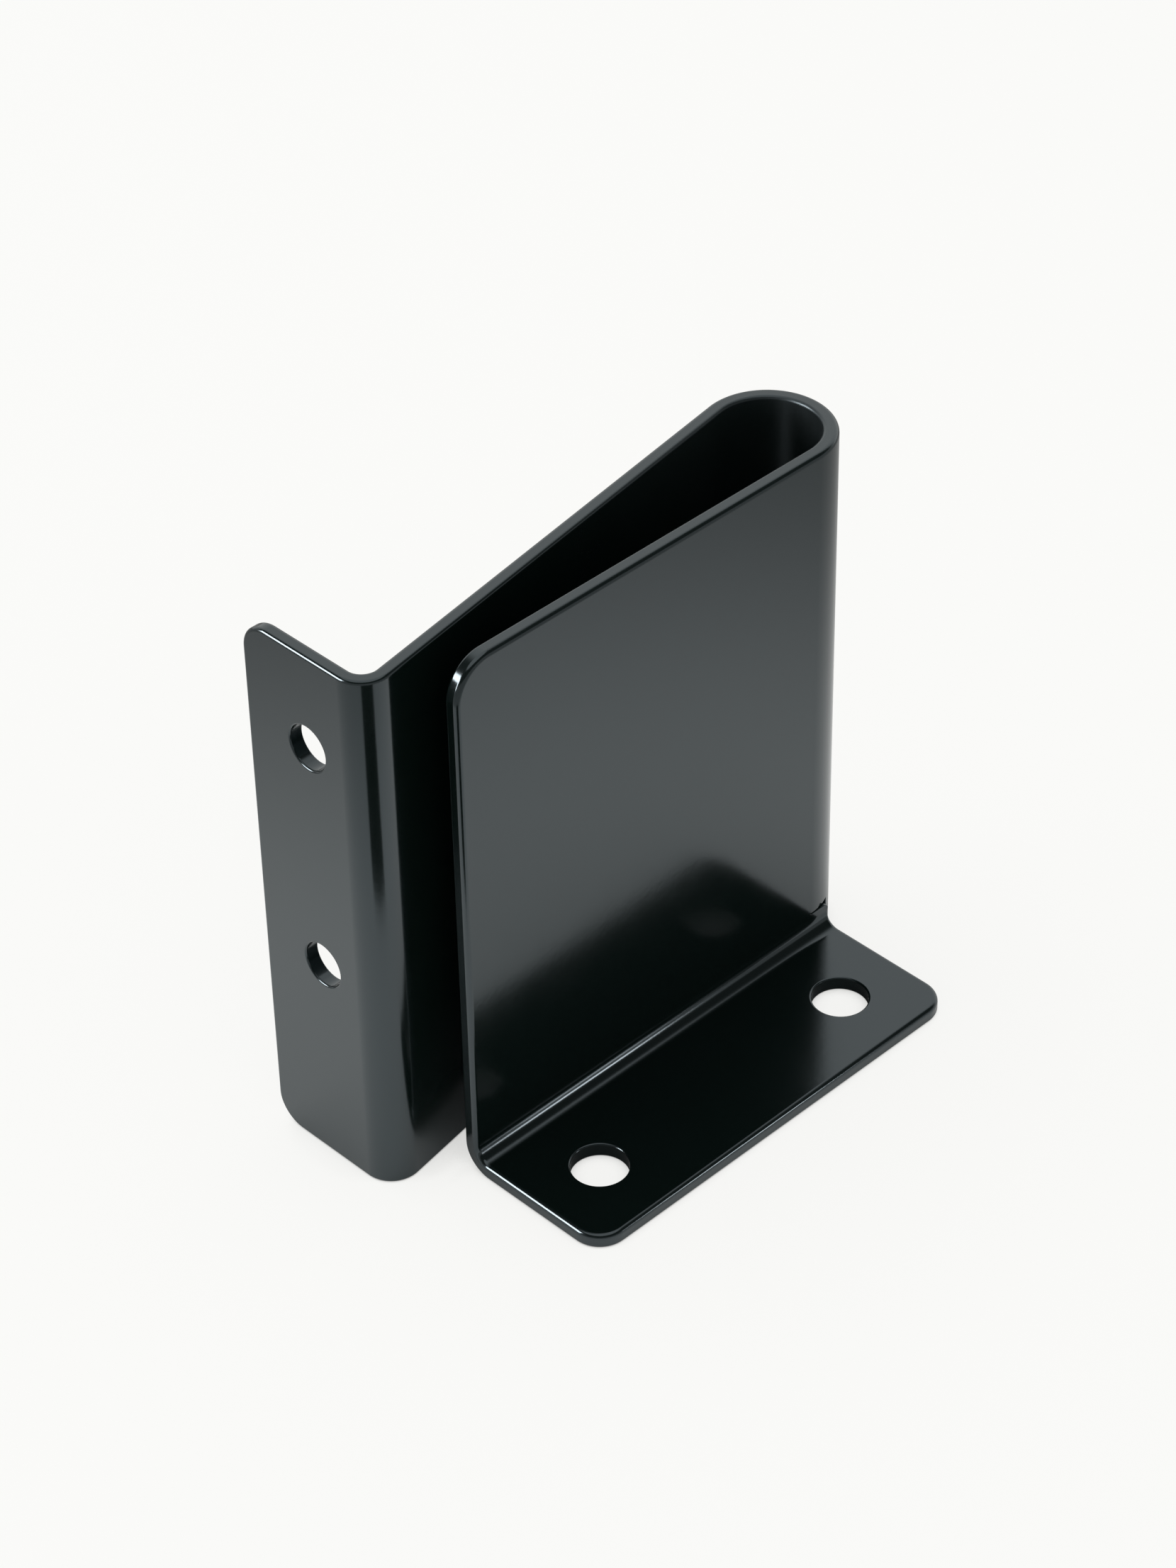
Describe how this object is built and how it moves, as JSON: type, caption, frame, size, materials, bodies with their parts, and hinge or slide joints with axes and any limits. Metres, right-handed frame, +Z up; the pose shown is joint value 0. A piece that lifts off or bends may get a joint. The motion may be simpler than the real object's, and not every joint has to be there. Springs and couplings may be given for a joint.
{
  "type": "folded sheet bracket",
  "caption": "Tall folded steel bracket: a tapering slot between a front and a back wall joined by a U bend, with a drilled foot flange and a drilled side flange.",
  "frame": {"origin": "midway between the base flange's two holes, on its underside", "axes": "+X along the front wall from its free end towards the U bend; +Y from the base flange towards the back wall; +Z up, along the walls' height"},
  "size_m": [0.1176, 0.0699, 0.115],
  "materials": {
    "coated_steel": "gloss black"
  },
  "bodies": {
    "root": {"bracket": "coated_steel"}
  },
  "joints": []
}
